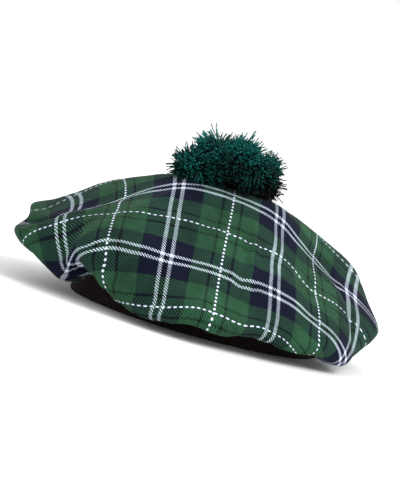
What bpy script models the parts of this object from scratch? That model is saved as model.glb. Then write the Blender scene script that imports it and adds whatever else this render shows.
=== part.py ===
"""Tam o'shanter: a gathered cloth crown, a plain headband and a yarn pompom.

The model is in metres with +Z up, and its front faces -Y. It stands on the headband's
bottom edge. Sizes and tables are in millimetres and degrees. Azimuth 0 is +X and 90 is +Y.
"""
import math
from collections import namedtuple

import bmesh
import bpy
import numpy as np
from mathutils import Vector

MM = 0.001

# The rim reaches further to -X than to +X, so the headband stands off the box's middle.
BAND_CENTRE_X = 5.0
BAND_CENTRE_Y = 1.0
SEAT_GAP = 0.3

# Headband: an upright oval ring of folded cloth for a 58 cm head.
BAND_HALF_X = 97.0
BAND_HALF_Y = 87.0
BAND_HEIGHT = 23.0
BAND_WALL = 2.2
BAND_SIDES = 72

# Crown: one round of cloth, nearly flat at the top, turned under at the rim and
# gathered on to the top edge of the headband.
CLOTH_WALL = 1.6
TOP_HEIGHT = 107.0
CAP_HALF_X = 46.0
CAP_HALF_Y = 27.0
CAP_DROP = 5.0
CAP_LEAN = 1.8
HEM_IN = 5.0
RIM_RISE = 9.0
RIM_RISE_SHARE = 0.5
UNDER_IN = 2.0
COLLAR_OUT = 4.0
COLLAR_UP = 1.2
SEAM_IN = 2.0
CROWN_SPOKES = 96

# Meshed steps along a section, one number for each stretch between its named points.
SECTION_STEPS = {"top": 1, "cap": 1, "upper": 3, "lower": 3, "brow": 2, "rim": 2,
                 "under": 3, "collar": 2, "seam": 1}

# Gathers: small pleats of the turned-under cloth, deepest between the rim and the band.
GATHER_COUNT = 24
GATHER_DEPTH = 1.6

# Sections of the crown: how far the rim reaches from the band's middle, the height of
# its lowest fold, how far inside and above that fold the slope breaks, the height at
# which the turned-under cloth sags on its way back to the band, and how far the slope
# swells out between the top and its break.
Section = namedtuple("Section", "azimuth reach low brow_in brow_up sag swell")
SECTIONS = (
    Section(0, 137, 23, 25, 38, 20, 0),
    Section(15, 131, 20, 16, 46, 19, 4),
    Section(40, 134, 12, 12, 34, 14, 2),
    Section(62, 126, 18, 10, 32, 18, 2),
    Section(85, 132, 10, 12, 34, 12, 2),
    Section(108, 127, 16, 10, 34, 16, 2),
    Section(130, 136, 12, 12, 34, 14, 2),
    Section(150, 135, 28, 12, 28, 20, 3),
    Section(168, 146, 43, 15, 15, 30, 5),
    Section(182, 142, 39, 12, 12, 28, 3),
    Section(189, 147, 33, 12, 11, 24, 2),
    Section(196, 153, 28, 14, 14, 21, 0),
    Section(204, 148, 24, 14, 25.5, 17, 0),
    Section(211, 134, 14, 10, 37, 13, 1),
    Section(217, 128, 13, 8, 39, 16, 2),
    Section(221, 131, 30, 8, 23, 27, 2),
    Section(226, 129, 27, 7, 25, 26, 2),
    Section(232, 126, 20, 6, 29, 21, 2),
    Section(240, 124, 12, 8, 38, 12, 2),
    Section(252, 127, 7, 12, 37, 9, 2),
    Section(262, 132, 10, 12, 26, 11, 2),
    Section(270, 134, 13, 10, 20, 14, 2),
    Section(280, 133, 11, 10, 21, 12, 2),
    Section(288, 132, 15, 10, 19, 15, 2),
    Section(297, 132, 14, 12, 24, 15, 2),
    Section(306, 135, 11, 16, 30, 13, 0),
    Section(316, 139, 13, 22, 31, 14, -2),
    Section(326, 140, 7, 25, 39, 10, -3),
    Section(336, 134, 11, 20, 38, 12, -4),
    Section(348, 137, 22, 24, 31, 18, -4),
)

# Folds across the sections: each runs straight from one azimuth and share of the way
# down the cloth to another. A groove has a positive depth and a ridge a negative one.
Fold = namedtuple("Fold", "name start_azimuth start_share end_azimuth end_share half_width depth")
FOLDS = (
    Fold("left_groove", 206, 0.44, 185, 0.76, 11.0, 6.0),
    Fold("left_hollow", 204, 0.20, 190, 0.58, 24.0, 3.0),
    Fold("front_pleat", 300, 0.22, 284, 0.70, 9.0, -2.4),
    Fold("right_crease", 352, 0.44, 330, 0.74, 10.0, 2.5),
    Fold("back_left_groove", 140, 0.35, 146, 0.80, 12.0, 5.0),
    Fold("back_groove", 96, 0.30, 98, 0.80, 12.0, 5.0),
    Fold("back_right_groove", 58, 0.35, 52, 0.80, 12.0, 5.0),
)

# Pompom: squashed lobes of yarn ends round a tied middle, with pointed locks all over.
POMPOM_SEAT = TOP_HEIGHT + SEAT_GAP
Lobe = namedtuple("Lobe", "name x y z half_x half_y half_z locks")
LOBES = (
    Lobe("main", 4.0, 1.0, 122.0, 27.0, 28.0, 17.0, 34),
    Lobe("low_left", -23.0, -3.0, 115.5, 21.0, 20.0, 10.0, 16),
)
LOCK_LENGTH = 7.5
LOCK_ROOT = 8.0
LOCK_TIP = 3.0
LOCK_SIDES = 5
LOCK_SUNK = 6.0
LOCK_LOWEST_SLOPE = -0.3
GOLDEN_TURN = math.pi * (3.0 - math.sqrt(5.0))


def clear_scene():
    """Remove every object, so that the script starts from an empty scene."""
    for obj in list(bpy.data.objects):
        bpy.data.objects.remove(obj, do_unlink=True)


def make_collection(name):
    """Return a new collection under the scene's own."""
    collection = bpy.data.collections.new(name)
    bpy.context.scene.collection.children.link(collection)
    return collection


def make_material(name, color, roughness):
    """Return a Principled material of one plain colour."""
    material = bpy.data.materials.new(name)
    material.use_nodes = True
    shader = material.node_tree.nodes["Principled BSDF"]
    shader.inputs["Base Color"].default_value = (*color, 1.0)
    shader.inputs["Roughness"].default_value = roughness
    shader.inputs["Metallic"].default_value = 0.0
    material.diffuse_color = (*color, 1.0)
    return material


def object_from_bmesh(name, shape, collection, material=None):
    """Turn a bmesh into a named object and free the bmesh."""
    mesh = bpy.data.meshes.new(name)
    shape.to_mesh(mesh)
    shape.free()
    obj = bpy.data.objects.new(name, mesh)
    collection.objects.link(obj)
    if material is not None:
        mesh.materials.append(material)
    return obj


def add_wall(obj, thickness):
    """Give an open surface its thickness, towards the inside."""
    wall = obj.modifiers.new("wall", "SOLIDIFY")
    wall.thickness = thickness * MM
    wall.offset = -1.0
    wall.use_rim = True
    wall.use_quality_normals = True


def shade_round(obj, sharp_degrees):
    """Shade smooth, with edges sharper than the given angle kept crisp."""
    obj.data.shade_smooth()
    obj.data.set_sharp_from_angle(angle=math.radians(sharp_degrees))


def oval_radius(azimuth, half_x, half_y):
    """Radius in a direction of an oval with the given half widths."""
    turn = math.radians(azimuth)
    return 1.0 / math.hypot(math.cos(turn) / half_x, math.sin(turn) / half_y)


def hermite(low, high, slope_low, slope_high, width, share):
    """Cubic between two values with given end slopes, at a share of the width."""
    square = share * share
    cube = square * share
    return ((2 * cube - 3 * square + 1) * low + (cube - 2 * square + share) * width * slope_low
            + (3 * square - 2 * cube) * high + (cube - square) * width * slope_high)


def section_at(azimuth):
    """Blend the section table smoothly round the crown, as one Section."""
    count = len(SECTIONS)
    turn = azimuth % 360.0
    after = next((i for i, row in enumerate(SECTIONS) if row.azimuth > turn), count)
    rows = [SECTIONS[(after + step) % count] for step in (-2, -1, 0, 1)]
    places = [row.azimuth + 360.0 * ((after + step) // count)
              for row, step in zip(rows, (-2, -1, 0, 1))]
    width = places[2] - places[1]
    share = (turn - places[1]) / width
    values = [turn]
    for field in Section._fields[1:]:
        v = [getattr(row, field) for row in rows]
        slope_low = (v[2] - v[0]) / (places[2] - places[0])
        slope_high = (v[3] - v[1]) / (places[3] - places[1])
        values.append(hermite(v[1], v[2], slope_low, slope_high, width, share))
    return Section(*values)


def section_points(azimuth):
    """Named points of a crown section, as radius and height, from the top to the seam."""
    row = section_at(azimuth)
    cap = oval_radius(azimuth, CAP_HALF_X, CAP_HALF_Y)
    band = oval_radius(azimuth, BAND_HALF_X, BAND_HALF_Y)
    cap_drop = CAP_DROP + CAP_LEAN * math.cos(math.radians(azimuth))
    cap_height = TOP_HEIGHT - cap_drop
    brow = np.array((row.reach - row.brow_in, row.low + row.brow_up))
    slope = brow - (cap, cap_height)
    outward = np.array((-slope[1], slope[0])) / np.hypot(*slope)
    middle = (brow + (cap, cap_height)) / 2.0 + outward * row.swell
    rise = min(RIM_RISE, RIM_RISE_SHARE * row.brow_up)
    hem = row.reach - HEM_IN
    return np.array((
        (0.0, TOP_HEIGHT),
        (cap / 2.0, TOP_HEIGHT - cap_drop / 4.0),
        (cap, cap_height),
        middle,
        brow,
        (row.reach, row.low + rise),
        (hem, row.low),
        ((hem + band) / 2.0 - UNDER_IN, row.sag),
        (band + COLLAR_OUT, BAND_HEIGHT + COLLAR_UP),
        (band - SEAM_IN, BAND_HEIGHT + SEAT_GAP),
    ))


def section_curve(azimuth):
    """Sample a smooth curve through a section's points, as radius and height."""
    points = section_points(azimuth)
    steps = list(SECTION_STEPS.values())
    spans = np.sqrt(np.hypot(*np.diff(points, axis=0).T))[:, None]
    chords = np.diff(points, axis=0) / spans
    slopes = np.zeros_like(points)
    slopes[1:-1] = (chords[:-1] * spans[1:] + chords[1:] * spans[:-1]) / (spans[1:] + spans[:-1])
    slopes[0] = (chords[0][0], 0.0)
    slopes[-1] = chords[-1]
    curve = []
    for i, count in enumerate(steps):
        for k in range(count):
            curve.append(hermite(points[i], points[i + 1], slopes[i], slopes[i + 1],
                                 spans[i], k / count))
    curve.append(points[-1])
    return np.array(curve)


def curve_normals(curve):
    """Unit normals of a section curve that point out of the crown."""
    along = np.gradient(curve, axis=0)
    normals = np.column_stack((-along[:, 1], along[:, 0]))
    return normals / np.hypot(*normals.T)[:, None]


def curve_shares(curve):
    """Share of a section's length that lies behind each of its points."""
    lengths = np.hypot(*np.diff(curve, axis=0).T)
    return np.concatenate(([0.0], np.cumsum(lengths))) / lengths.sum()


def fold_depth(azimuth, share, radius):
    """Depth of all folds together at a place on the crown."""
    depth = 0.0
    for fold in FOLDS:
        way = (share - fold.start_share) / (fold.end_share - fold.start_share)
        if not 0.0 < way < 1.0:
            continue
        line = fold.start_azimuth + (fold.end_azimuth - fold.start_azimuth) * way
        off = (azimuth - line + 180.0) % 360.0 - 180.0
        across = abs(math.radians(off) * radius) / fold.half_width
        if across < 1.0:
            depth += fold.depth * math.cos(across * math.pi / 2.0) ** 2 * math.sin(way * math.pi)
    return depth


def gather_depth(azimuth, row):
    """Depth of the pleats under the rim, by the row of the mesh."""
    steps = list(SECTION_STEPS.values())
    first = sum(steps[:6])
    last = sum(steps[:8])
    if not first < row < last:
        return 0.0
    fade = math.sin(math.pi * (row - first) / (last - first))
    return GATHER_DEPTH * fade * math.sin(GATHER_COUNT * math.radians(azimuth))


def crown_spoke(azimuth):
    """Points of the crown's outer side along one azimuth, from the top to the seam."""
    curve = section_curve(azimuth)
    normals = curve_normals(curve)
    shares = curve_shares(curve)
    turn = math.radians(azimuth)
    spoke = []
    for row, (point, normal, share) in enumerate(zip(curve, normals, shares)):
        depth = fold_depth(azimuth, share, point[0]) + gather_depth(azimuth, row)
        radius, height = point - normal * depth
        spoke.append(((BAND_CENTRE_X + radius * math.cos(turn)) * MM,
                      (BAND_CENTRE_Y + radius * math.sin(turn)) * MM,
                      height * MM))
    return spoke


def build_crown(collection, material):
    """Loft the crown through its sections and give the cloth its wall."""
    shape = bmesh.new()
    spokes = [crown_spoke(360.0 * i / CROWN_SPOKES) for i in range(CROWN_SPOKES)]
    top = shape.verts.new(spokes[0][0])
    rings = [[shape.verts.new(point) for point in spoke[1:]] for spoke in spokes]
    for here, beside in zip(rings, rings[1:] + rings[:1]):
        shape.faces.new((top, here[0], beside[0]))
        for row in range(len(here) - 1):
            shape.faces.new((here[row], here[row + 1], beside[row + 1], beside[row]))
    crown = object_from_bmesh("crown", shape, collection, material)
    shade_round(crown, 50)
    add_wall(crown, CLOTH_WALL)
    return crown


def build_headband(collection, material):
    """Extrude an oval upward and give it the band's wall, with a flat bottom edge."""
    shape = bmesh.new()
    circle = bmesh.ops.create_circle(shape, segments=BAND_SIDES, radius=1.0)
    bmesh.ops.scale(shape, verts=circle["verts"],
                    vec=Vector((BAND_HALF_X * MM, BAND_HALF_Y * MM, 1.0)))
    bmesh.ops.translate(shape, verts=circle["verts"],
                        vec=Vector((BAND_CENTRE_X * MM, BAND_CENTRE_Y * MM, 0.0)))
    raised = bmesh.ops.extrude_edge_only(shape, edges=shape.edges[:])
    corners = [item for item in raised["geom"] if isinstance(item, bmesh.types.BMVert)]
    bmesh.ops.translate(shape, verts=corners, vec=Vector((0.0, 0.0, BAND_HEIGHT * MM)))
    turn_outward(shape)
    band = object_from_bmesh("headband", shape, collection, material)
    shade_round(band, 40)
    add_wall(band, BAND_WALL)
    return band


def turn_outward(shape):
    """Flip the faces of an upright ring that point to its middle."""
    middle = Vector((BAND_CENTRE_X * MM, BAND_CENTRE_Y * MM, 0.0))
    for face in shape.faces:
        face.normal_update()
        outward = face.calc_center_median() - middle
        if face.normal.xy.dot(outward.xy) < 0.0:
            face.normal_flip()


def lobe_centre(lobe):
    """Middle of a pompom lobe, in metres."""
    return Vector((BAND_CENTRE_X + lobe.x, BAND_CENTRE_Y + lobe.y, lobe.z)) * MM


def build_lobe(lobe, collection, material):
    """Make one squashed ball of the pompom."""
    shape = bmesh.new()
    ball = bmesh.ops.create_icosphere(shape, subdivisions=2, radius=1.0)
    bmesh.ops.scale(shape, verts=ball["verts"],
                    vec=Vector((lobe.half_x, lobe.half_y, lobe.half_z)) * MM)
    bmesh.ops.translate(shape, verts=ball["verts"], vec=lobe_centre(lobe))
    return object_from_bmesh("pompom_" + lobe.name, shape, collection, material)


def lock_directions(count):
    """Even directions over the upper part of a ball, as unit vectors."""
    for i in range(count):
        height = 1.0 - (i + 0.5) * (1.0 - LOCK_LOWEST_SLOPE) / count
        across = math.sqrt(1.0 - height * height)
        turn = i * GOLDEN_TURN
        yield Vector((across * math.cos(turn), across * math.sin(turn), height))


def build_lock(lobe, direction, collection, material):
    """Make one pointed lock of yarn that stands out of a lobe."""
    reach = Vector((lobe.half_x, lobe.half_y, lobe.half_z)) * MM
    surface = Vector([d * r for d, r in zip(direction, reach)])
    outward = Vector([d / r for d, r in zip(direction, reach)]).normalized()
    outward = (outward + direction).normalized()
    length = (LOCK_LENGTH + LOCK_SUNK) * MM
    shape = bmesh.new()
    cone = bmesh.ops.create_cone(shape, segments=LOCK_SIDES, radius1=LOCK_ROOT * MM,
                                 radius2=LOCK_TIP * MM, depth=length, cap_ends=True)
    turn = outward.to_track_quat("Z", "Y").to_matrix()
    bmesh.ops.rotate(shape, verts=cone["verts"], cent=Vector(), matrix=turn)
    place = lobe_centre(lobe) + surface + outward * (length / 2.0 - LOCK_SUNK * MM)
    bmesh.ops.translate(shape, verts=cone["verts"], vec=place)
    return object_from_bmesh("pompom_lock", shape, collection, material)


def fuse(body, piece):
    """Join a piece to a body with a Boolean union, and remove the piece."""
    union = body.modifiers.new("fuse", "BOOLEAN")
    union.operation = "UNION"
    union.solver = "EXACT"
    union.object = piece
    graph = bpy.context.evaluated_depsgraph_get()
    joined = bpy.data.meshes.new_from_object(body.evaluated_get(graph))
    body.modifiers.remove(union)
    body.data = joined
    bpy.data.objects.remove(piece, do_unlink=True)


def build_seat_cutter(cutters):
    """Make the block that flattens the pompom where it sits on the crown."""
    shape = bmesh.new()
    block = bmesh.ops.create_cube(shape, size=1.0)
    width = 200.0
    depth = 60.0
    bmesh.ops.scale(shape, verts=block["verts"], vec=Vector((width, width, depth)) * MM)
    place = Vector((BAND_CENTRE_X, BAND_CENTRE_Y, POMPOM_SEAT - depth / 2.0)) * MM
    bmesh.ops.translate(shape, verts=block["verts"], vec=place)
    cutter = object_from_bmesh("pompom_seat_cutter", shape, cutters)
    cutter.hide_render = True
    cutter.display_type = "WIRE"
    return cutter


def build_pompom(collection, cutters, material):
    """Fuse the lobes and their locks into one body with a flat seat."""
    bodies = [build_lobe(lobe, collection, material) for lobe in LOBES]
    pompom = bodies[0]
    pompom.name = "pompom"
    for extra in bodies[1:]:
        fuse(pompom, extra)
    for lobe in LOBES:
        for direction in lock_directions(lobe.locks):
            fuse(pompom, build_lock(lobe, direction, collection, material))
    seat = pompom.modifiers.new("seat", "BOOLEAN")
    seat.operation = "DIFFERENCE"
    seat.solver = "EXACT"
    seat.object = build_seat_cutter(cutters)
    pompom.data.name = "pompom"
    shade_round(pompom, 35)
    return pompom


def main():
    """Build the three pieces."""
    clear_scene()
    parts = make_collection("tam_o_shanter")
    cutters = make_collection("cutters")
    cloth = make_material("green_tartan_cloth", (0.035, 0.125, 0.055), 0.9)
    band_cloth = make_material("dark_band_cloth", (0.012, 0.008, 0.006), 0.9)
    yarn = make_material("teal_green_yarn", (0.0, 0.075, 0.055), 0.95)
    build_crown(parts, cloth)
    build_headband(parts, band_cloth)
    build_pompom(parts, cutters, yarn)


main()
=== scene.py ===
"""Looks of a tam o'shanter: a gathered tartan crown, a ribbed headband and a yarn pompom.

Everything is in metres in the row's frame. Tables of the cloth's shape are in millimetres and
degrees, as a hatter would measure them, with azimuth 0 at +X and 90 at +Y.
"""
from __future__ import annotations

import logging
import math
from collections.abc import Callable, Mapping, Sequence
from dataclasses import dataclass, field
from enum import Enum
from functools import partial
from typing import NamedTuple

import bmesh
import bpy
import numpy as np
from mathutils import Matrix, Vector, noise


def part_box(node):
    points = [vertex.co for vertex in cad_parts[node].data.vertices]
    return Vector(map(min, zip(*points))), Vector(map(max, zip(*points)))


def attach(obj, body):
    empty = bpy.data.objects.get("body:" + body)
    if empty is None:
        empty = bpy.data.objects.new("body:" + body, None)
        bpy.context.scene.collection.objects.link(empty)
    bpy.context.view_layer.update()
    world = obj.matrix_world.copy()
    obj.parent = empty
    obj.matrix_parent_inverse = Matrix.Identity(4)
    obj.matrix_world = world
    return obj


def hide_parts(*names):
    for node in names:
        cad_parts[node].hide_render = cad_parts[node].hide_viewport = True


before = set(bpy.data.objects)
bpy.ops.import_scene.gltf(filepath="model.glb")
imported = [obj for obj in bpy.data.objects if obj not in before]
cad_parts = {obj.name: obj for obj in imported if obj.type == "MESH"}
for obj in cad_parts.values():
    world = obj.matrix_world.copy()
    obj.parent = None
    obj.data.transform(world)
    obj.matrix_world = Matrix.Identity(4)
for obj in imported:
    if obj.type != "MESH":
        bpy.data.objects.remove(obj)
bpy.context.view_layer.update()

LOG = logging.getLogger("tam_o_shanter")
MM = 0.001
BODY = "root"
FRONT = 270.0  # azimuth of the side that shows, in degrees
TINY = 1e-6
MID_COLOUR = (0.5, 0.5, 0.5)
MATH = "ShaderNodeMath"
VECTOR_MATH = "ShaderNodeVectorMath"
MAP_RANGE = "ShaderNodeMapRange"  # fed with value, from, from, to, to
COMBINE = "ShaderNodeCombineXYZ"
SEPARATE = "ShaderNodeSeparateXYZ"
RANDOM = "FunctionNodeRandomValue"
CIRCLE = "GeometryNodeCurvePrimitiveCircle"
STORE = "GeometryNodeStoreNamedAttribute"

Colour = tuple[float, float, float, float]
Inputs = Mapping[int | str, object] | Sequence[object]
Box = tuple[Sequence[float], Sequence[float]]
Pair = tuple[float, float]
Spot = tuple[float, float, float]
Array = np.ndarray
Material = bpy.types.Material
Mesh = bpy.types.Mesh
Node = bpy.types.Node
Adder = Callable[..., Node]
Piece = bpy.types.Object
Socket = bpy.types.NodeSocket
Sockets = bpy.types.NodeOutputs
Tree = bpy.types.NodeTree


class Section(NamedTuple):
    """One radial section of the crown, in millimetres.

    reach is how far the rim stands out, low the height of its lowest fold, brow_in and brow_up
    how far inside and above that fold the slope breaks, sag the height at which the
    turned-under cloth hangs on its way back to the band, and swell how far the slope bulges
    out between the top and its break.
    """

    azimuth: float
    reach: float
    low: float
    brow_in: float
    brow_up: float
    sag: float
    swell: float


class Fold(NamedTuple):
    """A fold that runs straight from one azimuth and share of the cloth to another.

    A groove has a positive depth and a ridge a negative one, in millimetres.
    """

    name: str
    start_azimuth: float
    start_share: float
    end_azimuth: float
    end_share: float
    half_width: float
    depth: float


class Slack(NamedTuple):
    """Which share of the cloth's slack each degree takes at an azimuth, fitted by trial."""

    azimuth: float
    share: float


class Pull(NamedTuple):
    """A place where the pattern is moved, and how far, in millimetres.

    It is moved most at the azimuth and share given, and less and less over the two spans. Each
    row was fitted by trial to the lines in the photograph and measures nothing of the cloth.
    """

    name: str
    azimuth: float
    share: float
    azimuth_span: float
    share_span: float
    along_weft: float
    along_warp: float


class Yarns(Enum):
    """The two sets of threads of the tartan, by the axis of the flat cloth that they cross."""

    WARP = 0
    WEFT = 1


SECTIONS = tuple(Section(*row) for row in (
    (0, 137, 23, 25, 38, 20, 0),
    (15, 131, 20, 16, 46, 19, 4),
    (40, 134, 12, 12, 34, 14, 2),
    (62, 126, 18, 10, 32, 18, 2),
    (85, 132, 10, 12, 34, 12, 2),
    (108, 127, 16, 10, 34, 16, 2),
    (130, 136, 12, 12, 34, 14, 2),
    (150, 135, 28, 12, 28, 20, 3),
    (168, 146, 43, 15, 15, 30, 5),
    (182, 142, 39, 12, 12, 28, 3),
    (189, 147, 33, 12, 11, 24, 2),
    (196, 153, 28, 14, 14, 21, 0),
    (204, 148, 24, 14, 25.5, 17, 0),
    (211, 134, 14, 10, 37, 13, 1),
    (217, 128, 13, 8, 39, 16, 2),
    (221, 131, 30, 8, 23, 27, 2),
    (226, 129, 27, 7, 25, 26, 2),
    (232, 126, 20, 6, 29, 21, 2),
    (240, 124, 12, 8, 38, 12, 2),
    (252, 127, 7, 12, 37, 9, 2),
    (262, 132, 10, 12, 26, 11, 2),
    (270, 134, 13, 10, 20, 14, 2),
    (280, 133, 11, 10, 21, 12, 2),
    (288, 132, 15, 10, 19, 15, 2),
    (297, 132, 14, 12, 24, 15, 2),
    (306, 135, 11, 16, 30, 13, 0),
    (316, 139, 13, 22, 31, 14, -2),
    (326, 140, 7, 25, 39, 10, -3),
    (336, 134, 11, 20, 38, 12, -4),
    (348, 137, 22, 24, 31, 18, -4),
))

FOLDS = tuple(Fold(*row) for row in (
    ("left_groove", 206, 0.44, 185, 0.76, 9.0, 6.0),
    ("left_hollow", 204, 0.20, 190, 0.58, 24.0, 3.0),
    ("front_pleat", 298.5, 0.22, 282.5, 0.70, 6.0, -2.0),
    ("front_pleat_side", 292.5, 0.24, 278.5, 0.68, 7.0, 0.9),
    ("right_crease", 352, 0.44, 330, 0.74, 8.0, 2.5),
    ("right_soft_dent", 326, 0.30, 312, 0.66, 16.0, 1.8),
    ("left_soft_dent", 246, 0.34, 236, 0.62, 15.0, 1.6),
    ("back_left_groove", 140, 0.35, 146, 0.80, 11.0, 5.0),
    ("back_groove", 96, 0.30, 98, 0.80, 11.0, 5.0),
    ("back_right_groove", 58, 0.35, 52, 0.80, 11.0, 5.0),
))

SLACK = tuple(Slack(*row) for row in (
    (0, 0.13), (190, 0.20), (197, 0.38), (207, 0.38), (212, 0.12), (225, 0.12), (232, 0.0),
    (297, 0.0), (303, 0.26), (318, 0.26), (326, 0.16), (345, 0.16),
))

PULLS = tuple(Pull(*row) for row in (
    ("right_ridge", 5, 0.52, 50, 0.30, 17.0, 14.0),
    ("right_slope", 322, 0.52, 14, 0.13, 2.0, 9.0),
    ("front_hem", 299, 0.78, 18, 0.15, 0.0, -8.0),
    ("front_middle", 274, 0.60, 18, 0.60, 2.8, 0.0),
    ("beyond_crease", 305, 0.45, 40, 0.80, 5.0, 0.0),
    ("left_ridge", 183, 0.55, 26, 0.26, -7.0, 5.0),
    ("left_saddle", 217, 0.72, 13, 0.16, 0.0, 10.0),
    ("left_belly", 232, 0.66, 11, 0.14, 0.0, -3.5),
    ("left_upper", 196, 0.48, 16, 0.16, 0.0, 7.0),
    ("left_front", 214, 0.54, 8, 0.10, 0.0, -4.0),
    ("left_tip", 176, 0.74, 16, 0.20, 0.0, 10.0),
    ("right_side", 338, 0.56, 30, 0.26, 7.0, 0.0),
    ("right_low_front", 311, 0.78, 9, 0.10, -6.0, 0.0),
    ("right_low", 325, 0.75, 9, 0.10, 6.0, 0.0),
    ("right_upper", 316, 0.37, 16, 0.14, 0.0, -6.0),
    ("right_tip", 341, 0.72, 16, 0.16, 0.0, -9.0),
    ("right_line", 346, 0.42, 20, 0.16, 0.0, -5.0),
    ("front_left", 253, 0.54, 12, 0.14, 0.0, 2.5),
    ("front_right", 312, 0.64, 10, 0.12, 0.0, 3.0),
    ("front_low", 276, 0.71, 18, 0.10, 0.0, -3.0),
    ("right_top", 15, 0.40, 30, 0.18, 7.0, 0.0),
    ("pleat_upper", 294, 0.40, 9, 0.14, 0.0, 3.0),
    ("pleat_middle", 286, 0.58, 7, 0.16, 0.0, 4.0),
    ("pleat_low", 291, 0.77, 6, 0.09, 0.0, -3.0),
    ("hem_side", 275, 0.80, 50, 0.10, 3.0, 0.0),
    ("right_cap", 352, 0.20, 50, 0.16, 8.0, 0.0),
    ("right_below_cap", 314, 0.34, 18, 0.16, -2.5, 0.0),
))


def linear_colour(hex_colour: str) -> Colour:
    """Turn an sRGB hex colour into the linear one that shaders use.

    Args:
        hex_colour: six hex digits, such as "3C7346".

    Returns:
        Red, green, blue and an alpha of one.
    """
    parts = [int(hex_colour[i:i + 2], 16) / 255.0 for i in (0, 2, 4)]
    linear = [c / 12.92 if c <= 0.04045 else ((c + 0.055) / 1.055) ** 2.4 for c in parts]
    return (linear[0], linear[1], linear[2], 1.0)


def feed(node: Node, inputs: Inputs) -> None:
    """Set or link the inputs of a node.

    Args:
        node: the node that is fed.
        inputs: values, sockets, or nodes for their first output, in order or by index or name.
    """
    for key, value in inputs.items() if isinstance(inputs, Mapping) else enumerate(inputs):
        source = value.outputs[0] if isinstance(value, Node) else value
        if isinstance(source, Socket):
            node.id_data.links.new(source, node.inputs[key])
        else:
            node.inputs[key].default_value = source


def add_node(tree: Tree, kind: str, inputs: Inputs = (), **settings: object) -> Node:
    """Add a node with its settings and links.

    Args:
        tree: the node tree that gets the node.
        kind: the node's type name.
        inputs: what it is fed with.
        settings: properties of the node, by name.

    Returns:
        The new node.
    """
    node = tree.nodes.new(kind)
    for name, value in settings.items():
        setattr(node, name, value)
    feed(node, inputs)
    return node


def shape_mesh(name: str, shape: bmesh.types.BMesh) -> Mesh:
    """Turn a finished shape into a named mesh and free it.

    Args:
        name: the mesh's name.
        shape: the shape, which is of no use afterwards.

    Returns:
        The new mesh.
    """
    mesh = bpy.data.meshes.new(name)
    shape.to_mesh(mesh)
    shape.free()
    return mesh


def applied(piece: Piece) -> Mesh:
    """Make a plain mesh of a piece as its modifiers leave it."""
    graph = bpy.context.evaluated_depsgraph_get()
    return bpy.data.meshes.new_from_object(piece.evaluated_get(graph))


def mesh_piece(name: str, mesh: Mesh) -> Piece:
    """Link a mesh to the scene as a named object at the origin.

    Args:
        name: the object's name.
        mesh: its mesh.

    Returns:
        The new object.
    """
    piece = bpy.data.objects.new(name, mesh)
    bpy.context.scene.collection.objects.link(piece)
    return piece


def grown_piece(name: str, seed_mesh: Mesh, tree: Tree, values: Mapping[str, object]) -> Piece:
    """Run a Geometry Nodes tree on a mesh and keep the result as a plain piece.

    Args:
        name: the finished piece's name.
        seed_mesh: the mesh that the tree starts from.
        tree: the Geometry Nodes tree.
        values: the modifier's inputs, by the socket's name in the tree.

    Returns:
        The finished piece, with no modifier left on it.
    """
    seed = mesh_piece(name, seed_mesh)
    grower = seed.modifiers.new("grow", "NODES")
    grower.node_group = tree
    for socket in tree.interface.items_tree:
        if socket.item_type == "SOCKET" and socket.in_out == "INPUT" and socket.name in values:
            grower[socket.identifier] = values[socket.name]
    grown = applied(seed)
    seed.modifiers.remove(grower)
    seed.data = grown
    return seed


def new_tree(name: str, inputs: Mapping[str, Sequence[str]]) -> tuple[Tree, Adder, Sockets]:
    """Start a Geometry Nodes tree with named inputs and one geometry output.

    Args:
        name: the tree's name.
        inputs: the inputs' names, by the type of their sockets.

    Returns:
        The tree, what adds nodes to it, and its inputs.
    """
    tree = bpy.data.node_groups.new(name, "GeometryNodeTree")
    for kind, names in inputs.items():
        for socket in names:
            tree.interface.new_socket(socket, in_out="INPUT", socket_type="NodeSocket" + kind)
    tree.interface.new_socket("Geometry", in_out="OUTPUT", socket_type="NodeSocketGeometry")
    add = partial(add_node, tree)
    return tree, add, add("NodeGroupInput").outputs


def close_tree(add: Adder, shape: Node, material: Socket) -> None:
    """Smooth a tree's realized shape, give it its material and hand it out.

    Args:
        add: what adds nodes to the tree.
        shape: the node that gives the shape.
        material: the tree's input for the material.
    """
    smooth = add("GeometryNodeSetShadeSmooth", [shape])
    dressed = add("GeometryNodeSetMaterial", {"Geometry": smooth, "Material": material})
    add("NodeGroupOutput", [dressed])


def new_material(name: str) -> tuple[Material, Adder, Node]:
    """Make a material that holds only a Principled shader and its output.

    Args:
        name: the material's name.

    Returns:
        The material, what adds nodes to it, and the shader.
    """
    material = bpy.data.materials.new(name)
    material.use_nodes = True
    material.node_tree.nodes.clear()
    add = partial(add_node, material.node_tree)
    shader = add("ShaderNodeBsdfPrincipled")
    add("ShaderNodeOutputMaterial", [shader])
    return material, add, shader


# --- finishes ---

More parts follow.
